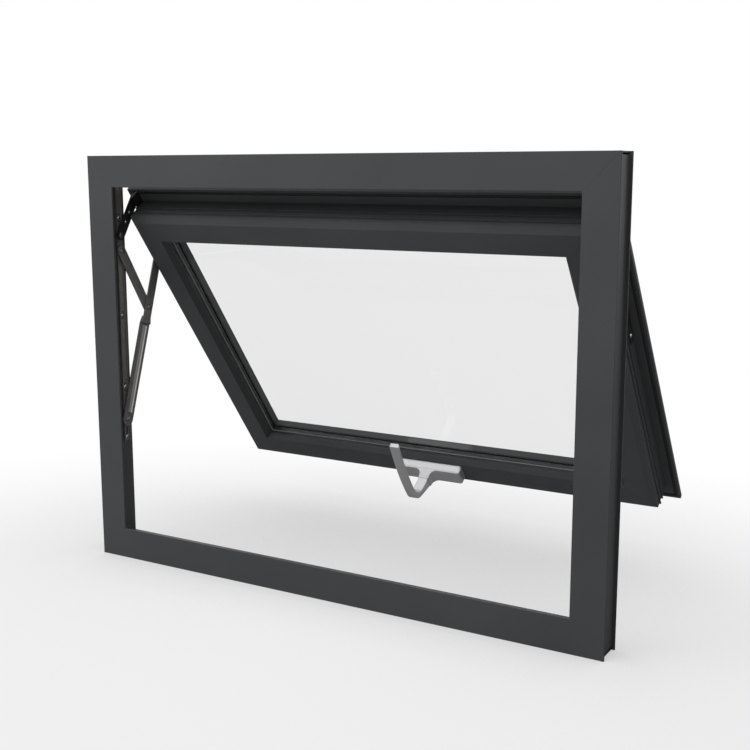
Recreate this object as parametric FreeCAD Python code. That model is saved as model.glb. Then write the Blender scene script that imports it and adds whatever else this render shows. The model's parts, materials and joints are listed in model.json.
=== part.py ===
import FreeCAD, Part
import math
import os

# Top hung awning window: a fixed frame, an open sash on two friction stays and a cam handle.
# Millimetres. X runs to the right seen from inside, Y points outside, Z is up.
# The origin is the middle of the sill's underside, where the window sits in its wall.

# Fixed frame
frame_width = 800.0
frame_height = 600.0
frame_depth = 41.6
frame_face = 45.0          # width of the face seen from inside
frame_body = 32.0          # outer edge to the rebate where the sash closes
rear_chamfer = 4.1         # slope between the rebate and the frame's outer face
frame_lip = 3.0            # thickness of the inner lip
frame_wall = 2.0
jamb_channel = 4.2         # depth of the open channel on the jambs' wall side
jamb_flange = 2.0          # flanges on both sides of that channel
edge_round = 0.4

# Frame seal on the outer side of the lip
seal_height = 1.0
seal_width = 5.0
seal_inset = 0.8           # lip's edge to the seal

# Sash, measured from the edge that passes behind the lip
sash_overlap = 3.2
sash_depth = 50.1
sash_face = 41.0           # edge to the glazing bead
sash_wall = 2.0
glazing_rebate = 25.0      # edge to the rebate behind the face, where the bead hooks in
leg_sight = 36.5           # edge to the end of the leg outside the glass
bevel_width = 7.6
bevel_depth = 6.0
outer_leg = 12.0           # thickness of the leg outside the glass
outer_flange = 20.8        # how far the outer flange reaches over the frame
outer_flange_thickness = 6.0
groove_place = 12.5        # body to the seal groove in the flange
groove_width = 4.5
groove_depth = 2.0
cavity_lip = 1.5           # thickness of the two lips in the hinge cavity
inner_lip_depth = 14.3
outer_lip_depth = 24.6

# Glazing unit
pane = 4.0
air_gap = 12.0
outer_gasket = 2.0         # thickness between the leg and the glass
gasket_width = 5.0
gasket_inset = 0.5         # sight line to the gasket's edge
glass_edge_gap = 4.0
spacer_height = 6.0
spacer_inset = 1.0         # how far the spacer shows beyond the leg
bead_sight = 46.9          # edge of the sash to the end of the bead
bead_splay = 7.7           # depth of the bead's slope
bead_nose = 1.5            # height of the bead's upright edge below the slope

# Open position of the sash
opening_angle = 36.3
sash_reach = 36.2          # how far its top edge has moved outside
sash_drop = 46.1           # how far its top edge has come down

# Friction stays, built up from the frame's rebate towards the sash
track_length = 388.0
track_top_gap = 4.0
track_width = 12.0
track_setback = 10.4       # outer edge of the frame to the track
track_base = 1.2
track_lip = 1.2
track_height = 2.6
stay_gap = 0.3
link_thickness = 2.0
arm_thickness = 2.0
arm_width = 15.5
arm_pivot_inset = 33.0     # lower end of the track to the support arm's pivot
arm_plate_width = 20.5     # wider part of the support arm, along its rib
arm_foot_run = 8.0         # straight length of the plate at the foot
rib_start = 11.5           # foot pivot to the start of the pressed rib
rib_end = 142.5
rib_radius = 4.8
plate_start = 148.0        # foot pivot to where the wider part begins to narrow
plate_end = 158.0
strut_length = 103.5
strut_joint = 173.0        # support arm's lower pivot to the strut's joint
shoe_pitch = 22.5          # between the two pivots on the shoe
shoe_end = 6.0
sash_bar_width = 15.0
sash_bar_wall = 1.5
sash_bar_below = 210.0     # top edge of the sash to the lower end of its bar
sash_bar_above = 19.0
sash_bar_top_pivot = 11.0
sash_bar_arm_pivot = 75.0
rivet_radius = 2.5
rivet_head_radius = 4.2
rivet_head = 0.9
hole_gap = 0.1
slot_length = 9.0
slot_width = 4.5
slot_places = (10.2, 78.0, 186.4, 330.0)

# Cam handle on the bottom rail
handle_shift = -3.0
handle_length = 113.5
handle_bottom = 11.3
handle_height = 28.0
handle_thickness = 14.0
neck_width = 17.0
neck_reach = 29.0
neck_fillet = 10.0
neck_bottom = 15.8
neck_top = 33.8
handle_edge = 2.2
lever_gap = 0.5
lever_width = 16.0
lever_edge = 1.6
lever_reach = 71.7         # rail to the blade's outer curve
lever_height = 145.8       # sash edge to the outer edge of the blade's tip
blade_thickness = 5.6
blade_bow = 7.3            # how far the tip bends back towards the sash
tip_rise = 1.9             # how much higher the tip's inner edge is
heel_height = 28.8         # sash edge to the lever's lower corner
heel_setback = 0.5         # how far that corner lies behind the blade's outer curve
heel_round = 20.0
throat_rise = 0.6          # top of the neck to the corner between the arm and the blade
throat_round = 19.0
spindle_radius = 4.0
spindle_gap = 0.05
spindle_inset = 6.0        # rail to the spindle's inner end
spindle_hold = 10.0        # length of the spindle inside the lever

tiny = 0.001               # closeness of points that are the same
Vector = FreeCAD.Vector
out_dir = "parts"
os.makedirs(out_dir, exist_ok=True)

# Sizes that follow
inside_face = -frame_depth / 2
sash_width = frame_width - 2 * (frame_face - sash_overlap)
sash_height = frame_height - 2 * (frame_face - sash_overlap)
leg_front = sash_depth - outer_leg
outer_pane_front = leg_front - outer_gasket - pane
spacer_front = outer_pane_front - air_gap
inner_pane_front = spacer_front - pane
bead_back = bead_splay + bead_nose
rebate_half = frame_width / 2 - frame_body
sash_half = sash_width / 2
link_level = track_height + stay_gap
link_top = link_level + link_thickness
arm_level = link_top + stay_gap
stay_top = arm_level + arm_thickness
bar_top = stay_top + stay_gap
cavity_lip_reach = rebate_half - sash_half - bar_top - stay_gap


def polygon(points, place):
    corners = [place(a, b) for a, b in points]
    return Part.Face(Part.makePolygon(corners + corners[:1]))


def rectangle(a0, a1, b0, b1):
    return [(a0, b0), (a1, b0), (a1, b1), (a0, b1)]


def profile_face(outline, chambers, place):
    face = polygon(outline, place)
    for chamber in chambers:
        face = face.cut(polygon(chamber, place))
    return face


def single(shape):
    return shape.Solids[0] if len(shape.Solids) == 1 else shape


def save(name, shape, placement=None):
    solid = single(shape).copy()
    if placement is not None:
        solid.Placement = placement.multiply(solid.Placement)
    solid.exportStep(os.path.join(out_dir, name + ".step"))


# A ring of four members around a rectangle. Outlines are pairs of distance in from the edge and depth.
def side_place(side, width, height, start):
    places = {
        "bottom": lambda inward, depth: Vector(start, depth, inward),
        "top": lambda inward, depth: Vector(start, depth, height - inward),
        "left": lambda inward, depth: Vector(inward - width / 2, depth, start),
        "right": lambda inward, depth: Vector(width / 2 - inward, depth, start),
    }
    return places[side]


def ring_outlines(width, height, outside, inside, shoulder):
    left = -width / 2
    ends = [(-outside, -outside)]
    if shoulder > 0:
        ends = [(shoulder, -outside), (shoulder, shoulder)]
    foot = [(left + a, b) for a, b in ends] + [(left + inside, inside)]
    level = foot + [(-a, b) for a, b in reversed(foot)]
    post_ends = [(-outside, -outside)]
    if shoulder > 0:
        post_ends = [(-outside, 0), (shoulder, 0), (shoulder, shoulder)]
    base = [(left + a, b) for a, b in post_ends] + [(left + inside, inside)]
    post = base + [(a, height - b) for a, b in reversed(base)]
    return {
        "bottom": level,
        "top": [(a, height - b) for a, b in level],
        "left": post,
        "right": [(-a, b) for a, b in post],
    }


def ring_member(side, width, height, outline, chambers, shoulder=0.0):
    outside = max(0.0, -min(a for a, b in outline))
    inside = max(a for a, b in outline)
    front = min(b for a, b in outline)
    back = max(b for a, b in outline)
    cut = ring_outlines(width, height, outside, inside, shoulder)[side]
    prism = polygon(cut, lambda x, z: Vector(x, front, z)).extrude(Vector(0, back - front, 0))
    level = side in ("bottom", "top")
    start = -width / 2 - outside if level else -outside
    run = Vector(width + 2 * outside, 0, 0) if level else Vector(0, 0, height + 2 * outside)
    bar = profile_face(outline, chambers, side_place(side, width, height, start)).extrude(run)
    return single(bar.common(prism))


def ring(width, height, inward0, inward1, depth0, depth1):
    outer = Part.makeBox(width - 2 * inward0, depth1 - depth0, height - 2 * inward0,
                         Vector(inward0 - width / 2, depth0, inward0))
    inner = Part.makeBox(width - 2 * inward1, depth1 - depth0, height - 2 * inward1,
                         Vector(inward1 - width / 2, depth0, inward1))
    return outer.cut(inner)


# Fixed frame
def frame_outline(channel):
    front = [(edge_round, 0), (frame_face - edge_round, 0),
             (frame_face, edge_round), (frame_face, frame_lip)]
    back = [(frame_body, frame_lip), (frame_body, frame_depth - rear_chamfer),
            (frame_body - rear_chamfer, frame_depth), (0, frame_depth)]
    recess = []
    if channel:
        recess = [(0, frame_depth - jamb_flange), (jamb_channel, frame_depth - jamb_flange),
                  (jamb_channel, jamb_flange), (0, jamb_flange)]
    return front + back + recess + [(0, edge_round)]


def frame_chamber(channel):
    outer = frame_wall + (jamb_channel if channel else 0.0)
    inner = frame_body - frame_wall
    front = frame_lip + frame_wall
    back = frame_depth - frame_wall
    return [(outer, front), (inner, front), (inner, back - rear_chamfer),
            (inner - rear_chamfer, back), (outer, back)]


frame_place = FreeCAD.Placement(Vector(0, inside_face, 0), FreeCAD.Rotation())
frame_members = {"bottom": "sill", "top": "head", "left": "left_jamb", "right": "right_jamb"}
for side, name in frame_members.items():
    channel = side in ("left", "right")
    member = ring_member(side, frame_width, frame_height, frame_outline(channel),
                         [frame_chamber(channel)], jamb_channel)
    save("frame_" + name, member, frame_place)

seal_edge = frame_face - seal_inset
save("frame_seal",
     ring(frame_width, frame_height, seal_edge - seal_width, seal_edge, frame_lip, frame_lip + seal_height),
     frame_place)

# Place of the sash: its own origin is the middle of its bottom edge, on its inner face
turn = FreeCAD.Rotation(Vector(1, 0, 0), opening_angle)
top_edge = Vector(0, inside_face + frame_lip + seal_height + sash_reach,
                  frame_height - frame_face + sash_overlap - sash_drop)
sash_origin = top_edge - turn.multVec(Vector(0, bevel_depth, sash_height))
sash_place = FreeCAD.Placement(sash_origin, turn)


# Sash
flange_front = sash_depth - outer_flange_thickness
groove_end = groove_place + groove_width
groove_floor = flange_front + groove_depth
sash_outline = [
    (bevel_width, 0), (sash_face, 0), (sash_face, sash_wall), (glazing_rebate, sash_wall),
    (glazing_rebate, leg_front), (leg_sight, leg_front), (leg_sight, sash_depth),
    (-outer_flange, sash_depth), (-outer_flange, flange_front),
    (-groove_end, flange_front), (-groove_end, groove_floor),
    (-groove_place, groove_floor), (-groove_place, flange_front), (0, flange_front),
    (0, outer_lip_depth + cavity_lip), (-cavity_lip_reach, outer_lip_depth + cavity_lip),
    (-cavity_lip_reach, outer_lip_depth), (0, outer_lip_depth),
    (0, inner_lip_depth + cavity_lip), (-cavity_lip_reach, inner_lip_depth + cavity_lip),
    (-cavity_lip_reach, inner_lip_depth), (0, inner_lip_depth), (0, bevel_depth),
]
sash_chamber = [
    (bevel_width + sash_wall, sash_wall), (glazing_rebate - sash_wall, sash_wall),
    (glazing_rebate - sash_wall, sash_depth - sash_wall), (sash_wall, sash_depth - sash_wall),
    (sash_wall, bevel_depth + sash_wall),
]
leg_chamber = rectangle(glazing_rebate, leg_sight - sash_wall,
                        leg_front + sash_wall, sash_depth - sash_wall)

sash_members = {"bottom": "bottom_rail", "top": "top_rail", "left": "left_stile", "right": "right_stile"}
for side, name in sash_members.items():
    member = ring_member(side, sash_width, sash_height, sash_outline, [sash_chamber, leg_chamber])
    save("sash_" + name, member, sash_place)

# Glazing beads, hooked behind the sash's face and splayed down towards the glass
bead_outline = [(sash_face, 0), (bead_sight, bead_splay), (bead_sight, bead_back),
                (glazing_rebate, bead_back), (glazing_rebate, sash_wall), (sash_face, sash_wall)]
for side in sash_members:
    save("bead_" + side, ring_member(side, sash_width, sash_height, bead_outline, []), sash_place)

# Glazing unit and its gaskets
glass_edge = glazing_rebate + glass_edge_gap


def glass_pane(front):
    return Part.makeBox(sash_width - 2 * glass_edge, pane, sash_height - 2 * glass_edge,
                        Vector(glass_edge - sash_half, front, glass_edge))


save("glass_inner_pane", glass_pane(inner_pane_front), sash_place)
save("glass_outer_pane", glass_pane(outer_pane_front), sash_place)


def glazing_ring(edge, height, front, back):
    return ring(sash_width, sash_height, edge - height, edge, front, back)


save("glass_spacer",
     glazing_ring(leg_sight + spacer_inset, spacer_height, spacer_front, outer_pane_front),
     sash_place)
save("glazing_gasket_inner",
     glazing_ring(bead_sight - gasket_inset, gasket_width, bead_back, inner_pane_front),
     sash_place)
save("glazing_gasket_outer",
     glazing_ring(leg_sight - gasket_inset, gasket_width, leg_front - outer_gasket, leg_front),
     sash_place)


# Friction stays, built on the right side in a flat layout of depth and height, then mirrored
def disc(point, radius, x0, x1):
    return Part.makeCylinder(radius, x1 - x0, Vector(x0, point.y, point.z), Vector(1, 0, 0))


def flat_bar(start, end, width, x0, x1):
    along = end - start
    along.normalize()
    across = Vector(0, -along.z, along.y) * (width / 2)
    first = Part.LineSegment(start + across, end + across).toShape()
    tip = Part.Arc(end + across, end + along * (width / 2), end - across).toShape()
    second = Part.LineSegment(end - across, start - across).toShape()
    tail = Part.Arc(start - across, start - along * (width / 2), start + across).toShape()
    face = Part.Face(Part.Wire([first, tip, second, tail]))
    face.translate(Vector(x0, 0, 0))
    return face.extrude(Vector(x1 - x0, 0, 0))


def level(height):
    return rebate_half - height


# Pivots of the stay
track_y = inside_face + frame_depth - track_setback - track_width / 2
track_top = frame_height - frame_body - track_top_gap
track_bottom = track_top - track_length
arm_foot = Vector(0, track_y, track_bottom + arm_pivot_inset)
bar_depth = (outer_lip_depth + cavity_lip + sash_depth - outer_flange_thickness) / 2


def on_sash(below_top):
    point = sash_place.multVec(Vector(0, bar_depth, sash_height - below_top))
    return Vector(0, point.y, point.z)


arm_head = on_sash(sash_bar_arm_pivot)
link_head = on_sash(-sash_bar_top_pivot)
arm_run = arm_head - arm_foot
arm_run.normalize()
strut_foot = arm_foot + arm_run * strut_joint
strut_rise = math.sqrt(strut_length ** 2 - (strut_foot.y - track_y) ** 2)
strut_head = Vector(0, track_y, strut_foot.z + strut_rise)
link_foot = strut_head + Vector(0, 0, shoe_pitch)


# A rivet fixed in one piece: its shank runs from the seat through the turning piece to a head
def rivet(point, seat, end, head_end):
    shank = disc(point, rivet_radius, level(max(seat, end)), level(min(seat, end)))
    return shank.fuse(disc(point, rivet_head_radius, level(max(end, head_end)), level(min(end, head_end))))


def holed(shape, points, low, high):
    for point in points:
        shape = shape.cut(disc(point, rivet_radius + hole_gap, level(high), level(low)))
    return shape


def stay_track():
    half = track_width / 2
    outline = [(-half, 0), (half, 0), (half, track_height), (half - track_lip, track_height),
               (half - track_lip, track_base), (track_lip - half, track_base),
               (track_lip - half, track_height), (-half, track_height)]
    place = lambda across, height: Vector(level(height), track_y + across, track_bottom)
    track = polygon(outline, place).extrude(Vector(0, 0, track_length))
    for height in slot_places:
        low = Vector(0, track_y, track_bottom + height)
        high = low + Vector(0, 0, slot_length)
        track = track.cut(flat_bar(low, high, slot_width, level(track_base), level(0)))
    return holed(track, (arm_foot,), 0, track_base)


def stay_shoe():
    half = track_width / 2 - track_lip - stay_gap
    low = strut_head.z - shoe_end
    shoe = Part.makeBox(track_height - track_base, 2 * half, link_foot.z + shoe_end - low,
                        Vector(level(track_height), track_y - half, low))
    for point in (strut_head, link_foot):
        shoe = shoe.fuse(rivet(point, track_height, link_top, link_top + rivet_head))
    return shoe


def stay_link(start, end):
    link = flat_bar(start, end, arm_width, level(link_top), level(link_level))
    return holed(link, (start, end), link_level, link_top)


# The support arm's lower part lies beside the track and carries a rib pressed towards the room
def arm_rib():
    middle = Vector(level((link_level + link_top) / 2), 0, 0)
    start = middle + arm_foot + arm_run * rib_start
    rib = Part.makeCylinder(rib_radius, rib_end - rib_start, start, arm_run)
    for end in (rib_start, rib_end):
        rib = rib.fuse(Part.makeSphere(rib_radius, middle + arm_foot + arm_run * end))
    deep = Part.makeBox(2 * rib_radius, frame_height, frame_height, Vector(level(link_level), 0, 0))
    return rib.cut(deep)


def arm_polygon(corners, low, high):
    across = Vector(0, -arm_run.z, arm_run.y)
    place = lambda along, side: arm_foot + arm_run * along + across * side + Vector(level(high), 0, 0)
    return polygon(corners, place).extrude(Vector(high - low, 0, 0))


# Above the rib the arm narrows and steps out over the strut
def stay_arm():
    wide = arm_plate_width / 2
    narrow = arm_width / 2
    plate = arm_polygon(rectangle(0, plate_start, -wide, wide), link_level, link_top)
    neck = [(plate_start, wide), (plate_end, narrow), (plate_end, -narrow), (plate_start, -wide)]
    step = arm_polygon(neck, link_level, stay_top)
    foot_end = arm_foot + arm_run * arm_foot_run
    foot = flat_bar(arm_foot, foot_end, arm_plate_width, level(link_top), level(link_level))
    step_end = arm_foot + arm_run * plate_end
    arm = flat_bar(step_end, arm_head, arm_width, level(stay_top), level(arm_level))
    arm = arm.multiFuse([foot, plate, step, arm_rib()])
    arm = holed(arm, (arm_head,), arm_level, stay_top)
    arm = arm.fuse(rivet(strut_foot, arm_level, link_level, link_level - rivet_head))
    arm = arm.fuse(disc(arm_foot, rivet_radius, level(link_level), level(0)))
    for point, face in ((arm_foot, link_top), (strut_foot, stay_top)):
        arm = arm.fuse(disc(point, rivet_head_radius, level(face + rivet_head), level(face)))
    return arm


def sash_bar():
    half = sash_bar_width / 2
    low = sash_height - sash_bar_below
    high = sash_height + sash_bar_above
    web = level(bar_top) - sash_half
    inside = web - sash_bar_wall
    flange = half - sash_bar_wall
    outline = [(-half, 0), (-half, web), (half, web), (half, 0),
               (flange, 0), (flange, inside), (-flange, inside), (-flange, 0)]
    place = lambda across, height: Vector(sash_half + height, bar_depth + across, low)
    bar = polygon(outline, place).extrude(Vector(0, 0, high - low))
    bar.Placement = sash_place.multiply(bar.Placement)
    bar = bar.fuse(rivet(arm_head, bar_top, arm_level, arm_level - rivet_head))
    return bar.fuse(rivet(link_head, bar_top, link_level, link_level - rivet_head))


def mirrored(shape):
    return shape.mirror(Vector(0, 0, 0), Vector(1, 0, 0))


stay_pieces = {
    "stay_track": stay_track(),
    "stay_shoe": stay_shoe(),
    "stay_top_link": stay_link(link_foot, link_head),
    "stay_strut": stay_link(strut_head, strut_foot),
    "stay_support_arm": stay_arm(),
    "stay_sash_bar": sash_bar(),
}
for name, shape in stay_pieces.items():
    save("right_" + name, shape)
    save("left_" + name, mirrored(shape))


# Cam handle, built in the sash's own directions: reach is measured inwards from the rail's face
spindle_height = (neck_bottom + neck_top) / 2


def handle_point(across, reach, height):
    return Vector(handle_shift + across, -reach, height)


def line(start, end):
    return Part.LineSegment(start, end).toShape()


def arc(start, through, end):
    return Part.Arc(start, through, end).toShape()


def edges_where(shape, wanted):
    return [edge for edge in shape.Edges if wanted(edge.BoundBox)]


def edge_across(shape, point):
    near = lambda vertex: abs(vertex.Y - point.y) + abs(vertex.Z - point.z) < tiny
    return [edge for edge in shape.Edges if all(near(vertex) for vertex in edge.Vertexes)]


def handle_plate():
    corner = handle_point(-handle_length / 2, handle_thickness, handle_bottom)
    plate = Part.makeBox(handle_length, handle_thickness, handle_height, corner)
    free = edges_where(plate, lambda box: box.YMin < -handle_thickness / 2)
    return plate.makeChamfer(handle_edge, free)


def handle_neck():
    narrow = neck_width / 2
    wide = narrow + neck_fillet
    front = handle_thickness
    bend = neck_fillet * (1 - math.sqrt(0.5))
    at = lambda across, reach: handle_point(across, reach, handle_bottom)
    right = [at(wide, 0), at(wide, front), at(narrow, front + neck_fillet), at(narrow, neck_reach)]
    left = [at(-wide, 0), at(-wide, front), at(-narrow, front + neck_fillet), at(-narrow, neck_reach)]
    plan = [
        line(left[0], right[0]),
        line(right[0], right[1]),
        arc(right[1], at(narrow + bend, front + bend), right[2]),
        line(right[2], right[3]),
        line(right[3], left[3]),
        line(left[3], left[2]),
        arc(left[2], at(-narrow - bend, front + bend), left[1]),
        line(left[1], left[0]),
    ]
    neck = Part.Face(Part.Wire(plan)).extrude(Vector(0, 0, handle_height))
    low = handle_bottom + handle_edge
    high = handle_bottom + handle_height - handle_edge
    taper = [(0, low), (front, low), (neck_reach, neck_bottom),
             (neck_reach, neck_top), (front, high), (0, high)]
    side = polygon(taper, lambda reach, height: handle_point(-wide, reach, height))
    return neck.common(side.extrude(Vector(2 * wide, 0, 0)))


def spindle_bore(start, length):
    return Part.makeCylinder(spindle_radius + spindle_gap, length,
                             handle_point(0, start, spindle_height), Vector(0, -1, 0))


def handle_base():
    base = handle_plate().fuse(handle_neck()).removeSplitter()
    return single(base.cut(spindle_bore(spindle_inset, neck_reach - spindle_inset)))


def handle_lever():
    start = neck_reach + lever_gap
    at = lambda reach, height: handle_point(-lever_width / 2, reach, height)
    tip_reach = lever_reach - blade_bow
    inner_reach = lever_reach - blade_thickness
    middle = (heel_height + lever_height) / 2
    heel = at(lever_reach - heel_setback, heel_height)
    tip_out = at(tip_reach, lever_height)
    tip_in = at(tip_reach - blade_thickness, lever_height + tip_rise)
    throat = at(inner_reach - heel_setback, neck_top + throat_rise)
    outline = [
        line(at(start, neck_bottom), heel),
        arc(heel, at(lever_reach, middle), tip_out),
        line(tip_out, tip_in),
        arc(tip_in, at(inner_reach, middle), throat),
        line(throat, at(start, neck_top)),
        line(at(start, neck_top), at(start, neck_bottom)),
    ]
    lever = Part.Face(Part.Wire(outline)).extrude(Vector(lever_width, 0, 0))
    lever = lever.makeFillet(heel_round, edge_across(lever, heel))
    lever = lever.makeFillet(throat_round, edge_across(lever, throat))
    rims = edges_where(lever, lambda box: box.XLength < tiny and box.YMin < -start - tiny)
    lever = lever.makeChamfer(lever_edge, rims)
    return single(lever.cut(spindle_bore(start, spindle_hold)))


save("handle_base", handle_base(), sash_place)
save("handle_lever", handle_lever(), sash_place)
spindle = Part.makeCylinder(spindle_radius, neck_reach + lever_gap + spindle_hold - spindle_inset,
                            handle_point(0, spindle_inset, spindle_height), Vector(0, -1, 0))
save("handle_spindle", spindle, sash_place)
pivot = sash_place.multVec(handle_point(0, neck_reach, spindle_height))
axis = turn.multVec(Vector(0, 1, 0))
print("handle pivot", pivot, "axis", axis)
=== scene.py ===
import json

import bmesh
import bpy
from mathutils import Matrix, Quaternion, Vector


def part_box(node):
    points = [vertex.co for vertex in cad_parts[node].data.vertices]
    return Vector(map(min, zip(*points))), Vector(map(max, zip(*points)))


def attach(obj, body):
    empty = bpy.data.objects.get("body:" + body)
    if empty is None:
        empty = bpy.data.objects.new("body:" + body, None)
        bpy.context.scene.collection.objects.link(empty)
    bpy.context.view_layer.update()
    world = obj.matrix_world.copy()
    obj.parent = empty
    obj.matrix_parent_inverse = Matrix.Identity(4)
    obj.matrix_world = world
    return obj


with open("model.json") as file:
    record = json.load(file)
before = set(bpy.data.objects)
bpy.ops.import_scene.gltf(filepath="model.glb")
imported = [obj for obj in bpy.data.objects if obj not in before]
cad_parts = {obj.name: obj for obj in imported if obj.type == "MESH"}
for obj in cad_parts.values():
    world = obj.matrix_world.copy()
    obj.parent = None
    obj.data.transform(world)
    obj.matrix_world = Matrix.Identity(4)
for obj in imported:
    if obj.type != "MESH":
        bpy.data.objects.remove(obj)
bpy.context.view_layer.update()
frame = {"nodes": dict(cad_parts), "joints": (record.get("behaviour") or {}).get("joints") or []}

nodes = frame["nodes"]
scene = bpy.context.scene
scene.view_settings.view_transform = "Standard"
print("frame:", len(nodes), "nodes loaded")

mm = 0.001

# directions of the open sash, read from the handle's joint
sashOut = Vector(frame["joints"][0]["axis"]).normalized()
sashUp = Vector((0, -sashOut.z, sashOut.y))
across = Vector((1, 0, 0))


def span(node, direction):
    reach = [vertex.co.dot(direction) for vertex in nodes[node].data.vertices]
    return min(reach), max(reach)


def sashPoint(x, out, up):
    return across * x + sashOut * out + sashUp * up


# material helpers

# most of a noise lies between these two values
noiseLow = 0.3
noiseHigh = 0.7
edgeSamples = 6


def startMaterial(name):
    material = bpy.data.materials.new(name)
    material.use_nodes = True
    tree = material.node_tree
    return material, tree, tree.nodes["Principled BSDF"]


def objectSpace(tree, stretch=(1, 1, 1)):
    coordinates = tree.nodes.new("ShaderNodeTexCoord")
    mapping = tree.nodes.new("ShaderNodeMapping")
    mapping.inputs["Scale"].default_value = stretch
    tree.links.new(coordinates.outputs["Object"], mapping.inputs["Vector"])
    return mapping.outputs["Vector"]


def addNoise(tree, space, scale, detail, roughness=0.5):
    noise = tree.nodes.new("ShaderNodeTexNoise")
    noise.inputs["Scale"].default_value = scale
    noise.inputs["Detail"].default_value = detail
    noise.inputs["Roughness"].default_value = roughness
    tree.links.new(space, noise.inputs["Vector"])
    return noise.outputs["Fac"]


def addRange(tree, value, low, high, start=noiseLow, end=noiseHigh):
    ranger = tree.nodes.new("ShaderNodeMapRange")
    ranger.inputs["From Min"].default_value = start
    ranger.inputs["From Max"].default_value = end
    ranger.inputs["To Min"].default_value = low
    ranger.inputs["To Max"].default_value = high
    tree.links.new(value, ranger.inputs["Value"])
    return ranger.outputs["Result"]


def addTones(tree, value, dark, light):
    ramp = tree.nodes.new("ShaderNodeValToRGB")
    ramp.color_ramp.elements[0].position = noiseLow
    ramp.color_ramp.elements[0].color = (*dark, 1)
    ramp.color_ramp.elements[1].position = noiseHigh
    ramp.color_ramp.elements[1].color = (*light, 1)
    tree.links.new(value, ramp.inputs["Fac"])
    return ramp.outputs["Color"]


def addSoftEdges(tree, radius):
    edges = tree.nodes.new("ShaderNodeBevel")
    edges.samples = edgeSamples
    edges.inputs["Radius"].default_value = radius
    return edges.outputs["Normal"]


def addBump(tree, height, strength, distance, normal=None):
    bump = tree.nodes.new("ShaderNodeBump")
    bump.inputs["Strength"].default_value = strength
    bump.inputs["Distance"].default_value = distance
    tree.links.new(height, bump.inputs["Height"])
    if normal is not None:
        tree.links.new(normal, bump.inputs["Normal"])
    return bump.outputs["Normal"]


def addMath(tree, operation, *values):
    node = tree.nodes.new("ShaderNodeMath")
    node.operation = operation
    for socket, value in zip(node.inputs, values):
        if isinstance(value, float):
            socket.default_value = value
        else:
            tree.links.new(value, socket)
    return node.outputs["Value"]


# the highest level among the rays at hand, and never less than the other level
def raySwitch(tree, levels, other=0.0):
    path = tree.nodes.new("ShaderNodeLightPath")
    highest = other
    for ray, level in levels.items():
        scaled = addMath(tree, "MULTIPLY", path.outputs[ray], level)
        highest = addMath(tree, "MAXIMUM", scaled, highest)
    return highest


def mixShaders(tree, share, first, second):
    mix = tree.nodes.new("ShaderNodeMixShader")
    tree.links.new(share, mix.inputs["Fac"])
    tree.links.new(first, mix.inputs[1])
    tree.links.new(second, mix.inputs[2])
    tree.links.new(mix.outputs["Shader"], tree.nodes["Material Output"].inputs["Surface"])


def dress(material, *names):
    for name in names:
        slots = nodes[name].data.materials
        slots.clear()
        slots.append(material)


# powder coat on the frame, sash and beads

coat = {
    "dark": (0.052, 0.0535, 0.0565),
    "light": (0.060, 0.0615, 0.0645),
    "roughLow": 0.40,
    "roughHigh": 0.50,
    "driftScale": 7.0,
    "driftDetail": 3.0,
    "grainScale": 1500.0,
    "grainDetail": 2.0,
    "grainRoughness": 0.6,
    "grainBump": 0.10,
    "grainDepth": 0.06 * mm,
    "peelScale": 420.0,
    "peelDetail": 1.0,
    "peelBump": 0.06,
    "peelDepth": 0.15 * mm,
    "edgeRadius": 0.7 * mm,
    "specular": 0.33,
}
# the sash and its beads take copies of the same coat, with tones and gloss matched to how they are lit: the
# sash's lighter tone is painted light, the beads' darker tone is painted shade
sashCoatPaintedLight = dict(coat, dark=(0.066, 0.0677, 0.0712), light=(0.0755, 0.0775, 0.081), specular=0.12)
beadCoatPaintedShade = dict(coat, dark=(0.040, 0.041, 0.043), light=(0.047, 0.048, 0.050), specular=0.2)


def powderCoat(name, settings):
    material, tree, shader = startMaterial(name)
    space = objectSpace(tree)
    drift = addNoise(tree, space, settings["driftScale"], settings["driftDetail"])
    grain = addNoise(tree, space, settings["grainScale"], settings["grainDetail"], settings["grainRoughness"])
    peel = addNoise(tree, space, settings["peelScale"], settings["peelDetail"])
    tones = addTones(tree, drift, settings["dark"], settings["light"])
    roughness = addRange(tree, grain, settings["roughLow"], settings["roughHigh"])
    soft = addSoftEdges(tree, settings["edgeRadius"])
    rolled = addBump(tree, peel, settings["peelBump"], settings["peelDepth"], soft)
    grained = addBump(tree, grain, settings["grainBump"], settings["grainDepth"], rolled)
    tree.links.new(tones, shader.inputs["Base Color"])
    tree.links.new(roughness, shader.inputs["Roughness"])
    tree.links.new(grained, shader.inputs["Normal"])
    shader.inputs["Specular IOR Level"].default_value = settings["specular"]
    return material


frameBars = [name for name in nodes if name.startswith("frame_") and name != "frame_seal"]
sashBars = [name for name in nodes if name.startswith("sash_")]
beadBars = [name for name in nodes if name.startswith("bead_")]
dress(powderCoat("anthraciteCoat", coat), *frameBars)
dress(powderCoat("sashCoatPaintedLight", sashCoatPaintedLight), *sashBars)
dress(powderCoat("beadCoatPaintedShade", beadCoatPaintedShade), *beadBars)
print("coat:", len(frameBars + sashBars + beadBars), "nodes")


# rubber of the seals

rubber = {"dark": (0.012, 0.012, 0.013), "light": (0.022, 0.022, 0.023), "roughLow": 0.55, "roughHigh": 0.7,
          "grainScale": 900.0, "grainDetail": 3.0, "bump": 0.2, "bumpDepth": 0.05 * mm}


def sealRubber(name, settings):
    material, tree, shader = startMaterial(name)
    grain = addNoise(tree, objectSpace(tree), settings["grainScale"], settings["grainDetail"])
    tones = addTones(tree, grain, settings["dark"], settings["light"])
    roughness = addRange(tree, grain, settings["roughLow"], settings["roughHigh"])
    bumps = addBump(tree, grain, settings["bump"], settings["bumpDepth"])
    tree.links.new(tones, shader.inputs["Base Color"])
    tree.links.new(roughness, shader.inputs["Roughness"])
    tree.links.new(bumps, shader.inputs["Normal"])
    return material


rubberFinish = sealRubber("sealRubber", rubber)
dress(rubberFinish, "frame_seal", "glazing_gasket_inner", "glazing_gasket_outer")


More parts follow.
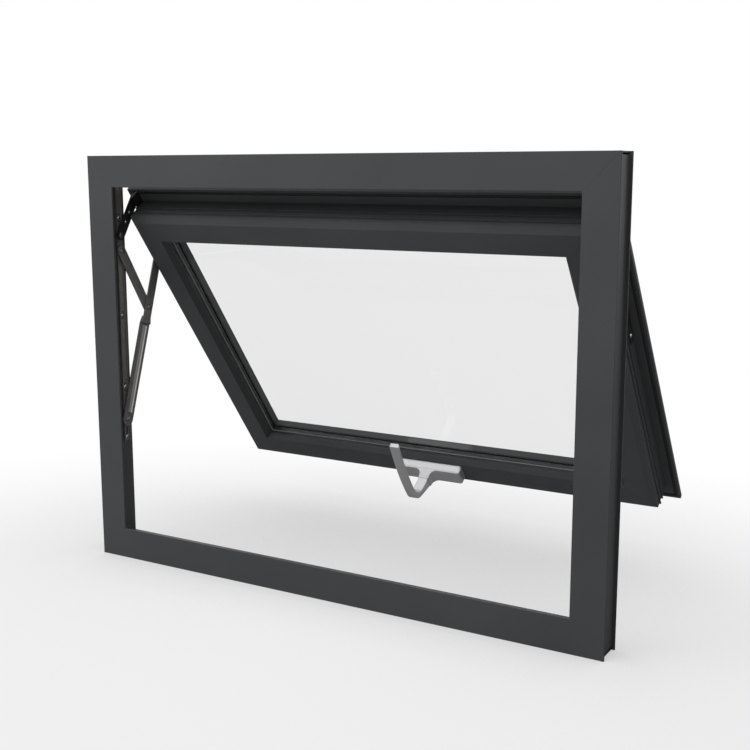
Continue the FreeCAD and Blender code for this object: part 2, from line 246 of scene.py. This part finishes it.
# clear float glass: it hardly bends a ray, and lamps, reflections and scattered light pass straight through

glass = {"tint": (0.993, 0.993, 0.993), "pass": (0.949, 0.949, 0.949), "bend": 1.02, "shine": 1.5}


def floatGlass(name, settings):
    material, tree, shader = startMaterial(name)
    shader.inputs["Base Color"].default_value = (*settings["tint"], 1)
    shader.inputs["Roughness"].default_value = 0.0
    shader.inputs["IOR"].default_value = settings["bend"]
    shader.inputs["Transmission Weight"].default_value = 1.0
    shader.inputs["Coat Weight"].default_value = 1.0
    shader.inputs["Coat Roughness"].default_value = 0.0
    shader.inputs["Coat IOR"].default_value = settings["shine"]
    clear = tree.nodes.new("ShaderNodeBsdfTransparent")
    clear.inputs["Color"].default_value = (*settings["pass"], 1)
    straight = raySwitch(tree, {"Is Shadow Ray": 1.0, "Is Glossy Ray": 1.0, "Is Diffuse Ray": 1.0})
    mixShaders(tree, straight, shader.outputs["BSDF"], clear.outputs["BSDF"])
    return material


glassFinish = floatGlass("floatGlass", glass)
dress(glassFinish, "glass_inner_pane", "glass_outer_pane")


# metals: the spacer, the stays and the handle

# the stretch of a metal sets the scale of its streaks
streak = {"scale": 1.0, "detail": 2.0, "roughness": 0.6, "depth": 0.05 * mm}
spacer = {"dark": (0.045, 0.045, 0.047), "light": (0.075, 0.075, 0.077), "roughLow": 0.35, "roughHigh": 0.5,
          "stretch": (40, 40, 40), "bump": 0.05, "edgeRadius": 0.3 * mm}
stainless = {"dark": (0.176, 0.168, 0.160), "light": (0.202, 0.193, 0.185),
             "roughLow": 0.24, "roughHigh": 0.32, "stretch": (4200, 4200, 60), "bump": 0.02,
             "edgeRadius": 0.35 * mm, "metallic": 0.4,
             # the near-white crown tone on the rib is a painted highlight
             "crown": (0.97, 0.96, 0.95), "crownStart": 359.6 * mm, "crownEnd": 359.4 * mm}
# a darker copy of the stay steel for the sash bars and top links: painted shade
paintedShadeSteel = {"dark": (0.035, 0.034, 0.033), "light": (0.055, 0.053, 0.052),
             "roughLow": 0.3, "roughHigh": 0.45, "stretch": (1500, 1500, 26), "bump": 0.06,
             "edgeRadius": 0.35 * mm, "metallic": 0.6}
silver = {"dark": (0.78, 0.78, 0.79), "light": (0.84, 0.84, 0.85), "roughLow": 0.30, "roughHigh": 0.38,
          "stretch": (1300, 1300, 1300), "bump": 0.05, "edgeRadius": 0.8 * mm, "metallic": 0.85}


# painted highlight: a near-white band on the steel that stands proud of the arm, on both sides of the window
def addPaintedHighlight(tree, tones, settings):
    parts = tree.nodes.new("ShaderNodeSeparateXYZ")
    tree.links.new(objectSpace(tree), parts.inputs["Vector"])
    distance = addMath(tree, "ABSOLUTE", parts.outputs["X"])
    share = addRange(tree, distance, 0.0, 1.0, settings["crownStart"], settings["crownEnd"])
    mix = tree.nodes.new("ShaderNodeMix")
    mix.data_type = "RGBA"
    mix.inputs["B"].default_value = (*settings["crown"], 1)
    tree.links.new(share, mix.inputs["Factor"])
    tree.links.new(tones, mix.inputs["A"])
    return mix.outputs["Result"]


def metal(name, settings):
    material, tree, shader = startMaterial(name)
    space = objectSpace(tree, settings["stretch"])
    streaks = addNoise(tree, space, streak["scale"], streak["detail"], streak["roughness"])
    tones = addTones(tree, streaks, settings["dark"], settings["light"])
    # painted highlight along the rib's crown
    if "crown" in settings:
        tones = addPaintedHighlight(tree, tones, settings)
    roughness = addRange(tree, streaks, settings["roughLow"], settings["roughHigh"])
    soft = addSoftEdges(tree, settings["edgeRadius"])
    brushed = addBump(tree, streaks, settings["bump"], streak["depth"], soft)
    tree.links.new(tones, shader.inputs["Base Color"])
    tree.links.new(roughness, shader.inputs["Roughness"])
    tree.links.new(brushed, shader.inputs["Normal"])
    shader.inputs["Metallic"].default_value = settings.get("metallic", 1.0)
    return material


spacerFinish = metal("spacerAluminium", spacer)
dress(spacerFinish, "glass_spacer")
stayFinish = metal("brushedStainless", stainless)
dress(stayFinish, *[name for name in nodes if "_stay_" in name])
# painted shade: the sash bars and top links get the darker copy of the stay steel
shadedFinish = metal("shadedSteel", paintedShadeSteel)
dress(shadedFinish, *[name for name in nodes if name.endswith(("_sash_bar", "_top_link"))])
handleFinish = metal("satinSilver", silver)
dress(handleFinish, "handle_base", "handle_lever", "handle_spindle")
print("metals done")


# detail pieces

def finishPiece(name, bm, material, body="window", smooth=True):
    bmesh.ops.recalc_face_normals(bm, faces=bm.faces[:])
    mesh = bpy.data.meshes.new(name)
    bm.to_mesh(mesh)
    bm.free()
    for face in mesh.polygons:
        face.use_smooth = smooth
    mesh.materials.append(material)
    piece = bpy.data.objects.new(name, mesh)
    scene.collection.objects.link(piece)
    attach(piece, body)


def facing(place, direction):
    turn = Vector((0, 0, 1)).rotation_difference(direction.normalized()).to_matrix().to_4x4()
    return Matrix.Translation(place) @ turn


domeSegments = {"around": 28, "upward": 14}


def addDome(bm, place, direction, radius, height):
    made = bmesh.ops.create_uvsphere(bm, u_segments=domeSegments["around"],
                                     v_segments=domeSegments["upward"], radius=1.0)
    verts = made["verts"]
    edges = list({e for v in verts for e in v.link_edges})
    faces = list({f for v in verts for f in v.link_faces})
    cut = bmesh.ops.bisect_plane(bm, geom=verts + edges + faces, plane_co=(0, 0, 0), plane_no=(0, 0, 1),
                                 clear_inner=True)
    dome = [item for item in cut["geom"] if isinstance(item, bmesh.types.BMVert)]
    shape = facing(place, direction) @ Matrix.Diagonal((radius, radius, height, 1))
    bmesh.ops.transform(bm, matrix=shape, verts=dome)


# the cross recess is a three by three grid without its corners
recessStrips = 3


def addScrew(bm, place, direction, settings):
    head = bmesh.new()
    half = settings["recess"] / 2
    bmesh.ops.create_grid(head, x_segments=recessStrips, y_segments=recessStrips, size=half)
    arm = half / recessStrips
    corners = [f for f in head.faces
               if min(abs(f.calc_center_median().x), abs(f.calc_center_median().y)) > arm]
    bmesh.ops.delete(head, geom=corners, context="FACES")
    sunk = bmesh.ops.extrude_face_region(head, geom=head.faces[:])
    floorVerts = [item for item in sunk["geom"] if isinstance(item, bmesh.types.BMVert)]
    bmesh.ops.translate(head, vec=(0, 0, -settings["recessDepth"]), verts=floorVerts)
    loop = [e for e in head.edges if len(e.link_faces) < 2 and all(v.co.z == 0 for v in e.verts)]
    crown = bmesh.ops.create_circle(head, segments=settings["segments"], radius=settings["crownRadius"])
    ring = list({e for v in crown["verts"] for e in v.link_edges})
    bmesh.ops.bridge_loops(head, edges=loop + ring)
    for spread, drop in settings["steps"]:
        grown = bmesh.ops.extrude_edge_only(head, edges=ring)
        verts = [item for item in grown["geom"] if isinstance(item, bmesh.types.BMVert)]
        ring = [item for item in grown["geom"] if isinstance(item, bmesh.types.BMEdge)
                and all(v in verts for v in item.verts)]
        bmesh.ops.scale(head, vec=(spread, spread, 1), verts=verts)
        bmesh.ops.translate(head, vec=(0, 0, -settings["height"] * drop), verts=verts)
    bmesh.ops.translate(head, vec=(0, 0, settings["height"]), verts=head.verts[:])
    bmesh.ops.transform(head, matrix=facing(place, direction), verts=head.verts[:])
    bmesh.ops.recalc_face_normals(head, faces=head.faces[:])
    carrier = bpy.data.meshes.new("screwHead")
    head.to_mesh(carrier)
    head.free()
    bm.from_mesh(carrier)
    bpy.data.meshes.remove(carrier)


ringSegments = 16


def addRing(bm, corners, inward, thickness, depth):
    loops = []
    for corner, diagonal in zip(corners, inward):
        shape = Matrix.Identity(4)
        shape.col[0] = (*(diagonal * thickness), 0)
        shape.col[1] = (*depth, 0)
        shape.col[2] = (*diagonal.cross(depth).normalized(), 0)
        shape.col[3] = (*corner, 1)
        made = bmesh.ops.create_circle(bm, segments=ringSegments, radius=1.0, matrix=shape)
        loops.append(list({e for v in made["verts"] for e in v.link_edges}))
    for first, second in zip(loops, loops[1:] + loops[:1]):
        bmesh.ops.bridge_loops(bm, edges=first + second)


def sashRing(bm, half, low, high, out, thickness, height):
    corners = [sashPoint(-half, out, low), sashPoint(half, out, low),
               sashPoint(half, out, high), sashPoint(-half, out, high)]
    inward = [across + sashUp, sashUp - across, -across - sashUp, across - sashUp]
    addRing(bm, corners, inward, thickness, sashOut * height)


# lip of the inner glazing gasket, along the glass; its pale grey rubber is a painted highlight along the lip
gasketLip = dict(rubber, radius=0.75 * mm, sink=0.1 * mm, dark=(0.19, 0.19, 0.193), light=(0.25, 0.25, 0.253))
lipHighlightFinish = sealRubber("gasketLip", gasketLip)
paneFront = span("glass_inner_pane", sashOut)[0]
beadHalf = -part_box("bead_left")[1][0]
lipMesh = bmesh.new()
sashRing(lipMesh, beadHalf - gasketLip["sink"], span("bead_bottom", sashUp)[1] + gasketLip["sink"],
         span("bead_top", sashUp)[0] - gasketLip["sink"], paneFront - gasketLip["radius"],
         gasketLip["radius"], gasketLip["radius"])
finishPiece("gasket_lip", lipMesh, lipHighlightFinish)

# seal bulb in the groove of the sash's outer flange
flangeSeal = {"fromRim": 6.05 * mm, "fromFace": 5.4 * mm, "halfWidth": 1.9 * mm, "halfHeight": 1.5 * mm}
sealMesh = bmesh.new()
rimHalf = -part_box("sash_left_stile")[0][0]
sashRing(sealMesh, rimHalf - flangeSeal["fromRim"],
         span("sash_bottom_rail", sashUp)[0] + flangeSeal["fromRim"],
         span("sash_top_rail", sashUp)[1] - flangeSeal["fromRim"],
         span("sash_bottom_rail", sashOut)[1] - flangeSeal["fromFace"],
         flangeSeal["halfWidth"], flangeSeal["halfHeight"])
finishPiece("flange_seal", sealMesh, rubberFinish)
print("seals done")


# screws and rivet heads of the stays

domeSteel = {"dark": (0.20, 0.19, 0.18), "light": (0.28, 0.27, 0.26), "roughLow": 0.25, "roughHigh": 0.35,
             "stretch": (900, 900, 900), "bump": 0.03, "edgeRadius": 0.15 * mm}
domeFinish = metal("dullSteel", domeSteel)
rivetSteel = {"dark": (0.62, 0.61, 0.60), "light": (0.72, 0.71, 0.70), "roughLow": 0.12, "roughHigh": 0.22,
              "stretch": (900, 900, 900), "bump": 0.03, "edgeRadius": 0.15 * mm}
screwFinish = metal("polishedSteel", rivetSteel)
screwHead = {
    "height": 1.3 * mm,
    "recess": 3.2 * mm,
    "recessDepth": 0.91 * mm,
    "crownRadius": 2.448 * mm,
    "segments": 24,
    "steps": ((1.25, 0.3), (1.11, 0.7)),  # growth of the radius, share of the height
}
stayDetail = {
    "trackScrews": (5.2 * mm, 82.5 * mm, 190.9 * mm, 334.5 * mm),
    "trackFloor": 1.2 * mm,
    "linkEnd": 7.75 * mm,
    "footEnd": 10.25 * mm,
    "armHead": 8.1 * mm,
    "lowHead": 5.8 * mm,
    "linkFace": 4.9 * mm,
    "linkRivets": (0.36, 0.62),  # shares of the link's length
    "linkRivetRadius": 2.3 * mm,
    "barFace": 7.5 * mm,
    "barScrews": (11.0 * mm, 62.0 * mm),
    "domeRadius": 3.9 * mm,
    "domeHeight": 0.9 * mm,
}


def stayFittings(side):
    sign = 1 if side == "right" else -1
    inner = Vector((-sign, 0, 0))
    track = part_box(side + "_stay_track")
    wall = max(abs(track[0][0]), abs(track[1][0]))
    middle = (track[0][1] + track[1][1]) / 2

    def at(height, y, z):
        return Vector((sign * (wall - height), y, z))

    screws = bmesh.new()
    for rise in stayDetail["trackScrews"]:
        addScrew(screws, at(stayDetail["trackFloor"], middle, track[0][2] + rise), inner, screwHead)
    bar = side + "_stay_sash_bar"
    barLow = span(bar, sashUp)[0]
    barMiddle = sum(span(bar, sashOut)) / 2
    for rise in stayDetail["barScrews"]:
        point = sashPoint(sign * (wall - stayDetail["barFace"]), barMiddle, barLow + rise)
        addScrew(screws, point, -inner, screwHead)
    finishPiece(side + "_stay_screws", screws, screwFinish, smooth=False)

    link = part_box(side + "_stay_top_link")
    end = stayDetail["linkEnd"]
    linkLow = Vector((0, link[0][1] + end, link[0][2] + end))
    linkHigh = Vector((0, link[1][1] - end, link[1][2] - end))
    rivets = bmesh.new()
    for share in stayDetail["linkRivets"]:
        spot = linkLow.lerp(linkHigh, share)
        addDome(rivets, at(stayDetail["linkFace"], spot.y, spot.z), inner, stayDetail["linkRivetRadius"],
                stayDetail["domeHeight"])
    finishPiece(side + "_stay_link_rivets", rivets, screwFinish)

    domes = bmesh.new()
    radius, height = stayDetail["domeRadius"], stayDetail["domeHeight"]
    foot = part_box(side + "_stay_support_arm")[0]
    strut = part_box(side + "_stay_strut")
    footEnd = stayDetail["footEnd"]
    addDome(domes, at(stayDetail["lowHead"], foot[1] + footEnd, foot[2] + footEnd), inner, radius, height)
    addDome(domes, at(stayDetail["armHead"], strut[1][1] - end, strut[0][2] + end), inner, radius, height)
    addDome(domes, at(stayDetail["lowHead"], strut[0][1] + end, strut[1][2] - end), inner, radius, height)
    addDome(domes, at(stayDetail["lowHead"], linkLow.y, linkLow.z), inner, radius, height)
    finishPiece(side + "_stay_rivet_heads", domes, domeFinish)


for staySide in ("left", "right"):
    stayFittings(staySide)
print("stay fittings done")


# floor, light and camera

stage = {
    "size": 14.0,
    "divisions": 8,
    "roughness": 0.7,
    "specular": 0.1,
    "seenTone": 0.8,
    "bounceTone": 0.6,
    "mirrorTone": 0.22,
    "nearShare": 0.85,
    "nearLevel": 0.885,
    # the contact settings paint shade onto the floor close to the window's pieces
    "contactReach": 0.42,
    "contactLevel": 0.55,
    "contactSamples": 4,
    "fadeStart": 0.6,
    "fadeEnd": 1.3,
    "centre": (0.1, -0.3, 0.0),
}


def floorFinish(name, settings):
    material, tree, shader = startMaterial(name)
    shader.inputs["Roughness"].default_value = settings["roughness"]
    shader.inputs["Specular IOR Level"].default_value = settings["specular"]
    tones = {"Is Camera Ray": settings["seenTone"], "Is Transmission Ray": settings["seenTone"],
             "Is Diffuse Ray": settings["bounceTone"]}
    tree.links.new(raySwitch(tree, tones, settings["mirrorTone"]), shader.inputs["Base Color"])
    # the camera sees a mix with plain white, which grows away from the window
    coordinates = tree.nodes.new("ShaderNodeTexCoord")
    distance = tree.nodes.new("ShaderNodeVectorMath")
    distance.operation = "DISTANCE"
    distance.inputs[1].default_value = settings["centre"]
    tree.links.new(coordinates.outputs["Object"], distance.inputs[0])
    fade = addRange(tree, distance.outputs["Value"], settings["nearShare"], 1.0,
                    settings["fadeStart"], settings["fadeEnd"])
    fade.node.interpolation_type = "SMOOTHSTEP"
    seen = raySwitch(tree, {"Is Camera Ray": 1.0, "Is Transmission Ray": 1.0})
    share = addMath(tree, "MULTIPLY", fade, seen)
    # the white is dimmer near the window, and more so close to its pieces, where an ambient occlusion mask
    # darkens it as painted contact shade
    level = addRange(tree, fade, settings["nearLevel"], 1.0, settings["nearShare"], 1.0)
    contact = tree.nodes.new("ShaderNodeAmbientOcclusion")
    contact.samples = settings["contactSamples"]
    contact.inputs["Distance"].default_value = settings["contactReach"]
    shade = addRange(tree, contact.outputs["AO"], settings["contactLevel"], 1.0, 0.0, 1.0)
    white = tree.nodes.new("ShaderNodeEmission")
    tree.links.new(addMath(tree, "MULTIPLY", level, shade), white.inputs["Strength"])
    mixShaders(tree, share, shader.outputs["BSDF"], white.outputs["Emission"])
    return material


def buildFloor(settings):
    mesh = bpy.data.meshes.new("studioFloor")
    bm = bmesh.new()
    bmesh.ops.create_grid(bm, x_segments=settings["divisions"], y_segments=settings["divisions"],
                          size=settings["size"] / 2)
    bm.to_mesh(mesh)
    bm.free()
    mesh.materials.append(floorFinish("paleFloor", settings))
    floor = bpy.data.objects.new("studioFloor", mesh)
    scene.collection.objects.link(floor)


world = {"ambient": 0.40, "seen": 1.0, "mirrored": 1.0}


def buildWorld(settings):
    sky = bpy.data.worlds.new("studioWhite")
    scene.world = sky
    sky.use_nodes = True
    tree = sky.node_tree
    background = tree.nodes["Background"]
    background.inputs["Color"].default_value = (1, 1, 1, 1)
    levels = {"Is Camera Ray": settings["seen"], "Is Transmission Ray": settings["seen"],
              "Is Glossy Ray": settings["mirrored"]}
    tree.links.new(raySwitch(tree, levels, settings["ambient"]), background.inputs["Strength"])


lamps = {
    "topSoftbox": {"place": (-0.2, -0.3, 2.6), "aim": (0.0, 0.0, 0.0), "size": 2.0, "power": 5.0},
    "frontSoftbox": {"place": (-0.4, -1.6, 2.6), "aim": (0.0, 0.0, 0.3), "size": 1.4, "power": 33.0},
    "lowSoftbox": {"place": (-0.6, -2.8, 0.9), "aim": (0.0, 0.0, 0.3), "size": 1.6, "power": 3.0},
    "sideSoftbox": {"place": (-1.8, -1.5, 2.2), "aim": (0.0, 0.0, 0.3), "size": 1.4, "power": 26.0},
}


def addLamp(name, settings):
    lamp = bpy.data.lights.new(name, "AREA")
    lamp.shape = "SQUARE"
    lamp.size = settings["size"]
    lamp.energy = settings["power"]
    holder = bpy.data.objects.new(name, lamp)
    place = Vector(settings["place"])
    holder.location = place
    holder.rotation_euler = (Vector(settings["aim"]) - place).to_track_quat("-Z", "Y").to_euler()
    holder.visible_glossy = False
    scene.collection.objects.link(holder)


camera = {"place": (0.8156, -1.2710, 0.5768), "aim": (0.0718, -0.0003, 0.3160), "roll": -0.00083,
          "lens": 55.04, "sensor": 36.0, "clipStart": 0.01}


def addCamera(settings):
    lens = bpy.data.cameras.new("photoCamera")
    lens.lens = settings["lens"]
    lens.sensor_width = settings["sensor"]
    lens.sensor_fit = "HORIZONTAL"
    lens.clip_start = settings["clipStart"]
    holder = bpy.data.objects.new("photoCamera", lens)
    place = Vector(settings["place"])
    holder.location = place
    look = (Vector(settings["aim"]) - place).to_track_quat("-Z", "Y")
    holder.rotation_euler = (look @ Quaternion((0, 0, 1), settings["roll"])).to_euler()
    scene.collection.objects.link(holder)
    scene.camera = holder


buildFloor(stage)
buildWorld(world)
for lampName, lampSettings in lamps.items():
    addLamp(lampName, lampSettings)
addCamera(camera)
print("studio done")
